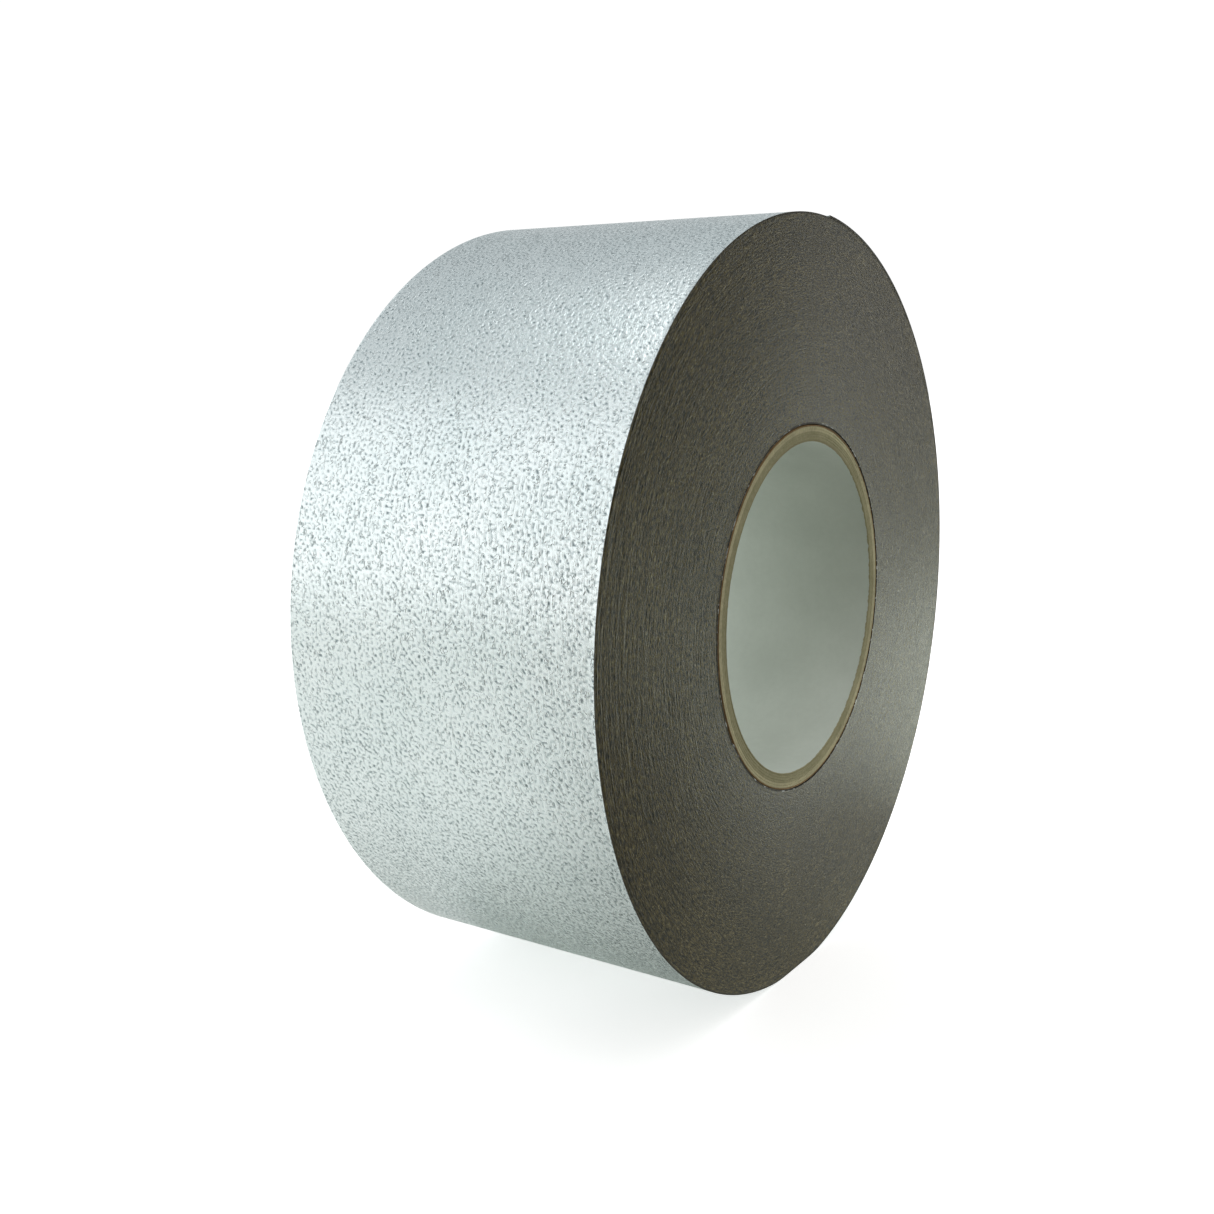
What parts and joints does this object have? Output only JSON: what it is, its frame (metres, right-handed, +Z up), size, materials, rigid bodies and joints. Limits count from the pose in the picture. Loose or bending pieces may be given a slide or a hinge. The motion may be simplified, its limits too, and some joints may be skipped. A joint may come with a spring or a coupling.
{
  "type": "duct tape roll",
  "caption": "Wide roll of embossed aluminium-foil duct tape wound with its release liner on a paperboard core; the tape's free end lifts and parts from the liner.",
  "frame": {"origin": "centre of the core's bore, half way across the tape's width", "axes": "+Y along the roll's axis, away from the end face that is seen first; +Z up, with the roll standing on its rim; the tape winds outwards from +X towards +Z"},
  "size_m": [0.176, 0.075, 0.1755],
  "materials": {
    "foil": "satin",
    "adhesive": "gloss",
    "liner_paper": "satin",
    "wound_edge": "satin",
    "bore_paper": "matte",
    "board_dark": "matte",
    "board_pale": "matte",
    "kraft_paper": "matte",
    "start_tape": "satin"
  },
  "bodies": {
    "roll": {"core_bore_ply": "bore_paper", "core_board_ply_1": "board_dark", "core_board_ply_2": "board_dark", "core_board_ply_3": "board_dark", "core_board_ply_4": "board_pale", "core_board_ply_5": "board_pale", "core_kraft_ply": "kraft_paper", "start_tape": "start_tape", "first_turn_liner": "liner_paper", "first_turn_adhesive": "adhesive", "first_turn_foil": "foil", "wound_turns": "wound_edge", "last_turn_liner": "liner_paper", "last_turn_adhesive": "adhesive", "last_turn_foil": "foil"},
    "foil_end": {"foil_end": "foil", "adhesive_end": "adhesive"},
    "foil_tip": {"foil_tip": "foil", "adhesive_tip": "adhesive"},
    "liner_end": {"liner_end": "liner_paper"},
    "liner_tip": {"liner_tip": "liner_paper"}
  },
  "joints": [
    {"name": "foil_end_lift", "type": "hinge", "parent": "roll", "child": "foil_end", "pos_m": [0.04928, 0, 0.07333], "axis": [0, 1, 0], "range_deg": [0, 60]},
    {"name": "foil_tip_bend", "type": "hinge", "parent": "foil_end", "child": "foil_tip", "pos_m": [0.02938, 0, 0.08333], "axis": [0, 1, 0], "range_deg": [0, 54]},
    {"name": "liner_end_lift", "type": "hinge", "parent": "roll", "child": "liner_end", "pos_m": [0.04908, 0, 0.07303], "axis": [0, 1, 0], "range_deg": [0, 27]},
    {"name": "liner_tip_bend", "type": "hinge", "parent": "liner_end", "child": "liner_tip", "pos_m": [0.02926, 0, 0.08299], "axis": [0, 1, 0], "range_deg": [0, 24]}
  ],
  "couplings": [
    {"joint": "foil_tip_bend", "follows": "foil_end_lift", "ratio": 0.9},
    {"joint": "liner_end_lift", "follows": "foil_end_lift", "ratio": 0.45},
    {"joint": "liner_tip_bend", "follows": "foil_end_lift", "ratio": 0.4}
  ]
}
